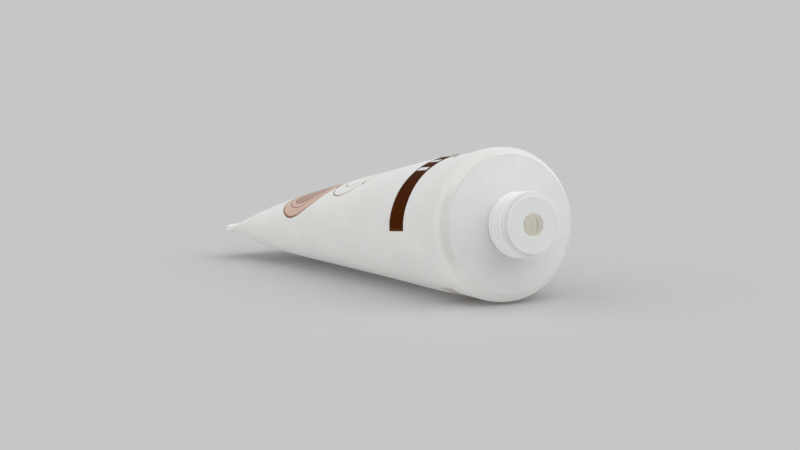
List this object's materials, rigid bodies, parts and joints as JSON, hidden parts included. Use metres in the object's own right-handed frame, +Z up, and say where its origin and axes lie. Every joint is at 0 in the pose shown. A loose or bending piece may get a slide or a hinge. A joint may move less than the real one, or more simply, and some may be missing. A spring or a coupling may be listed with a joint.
{
  "type": "cosmetic squeeze tube",
  "caption": "Plastic squeeze tube without its cap: round printed sleeve with a flat sealed tail, cone shoulder, screw neck and open mouth.",
  "frame": {"origin": "middle of the base of the bounding box, on the surface that the tube lies on", "axes": "+Z up from that surface, +X along the tube from the sealed tail towards the mouth"},
  "size_m": [0.1198, 0.0544, 0.0354],
  "materials": {
    "printed_sleeve": "satin white film, printed",
    "moulded_head": "satin white moulding"
  },
  "bodies": {
    "root": {"sleeve": "printed_sleeve", "head": "moulded_head"}
  },
  "joints": []
}
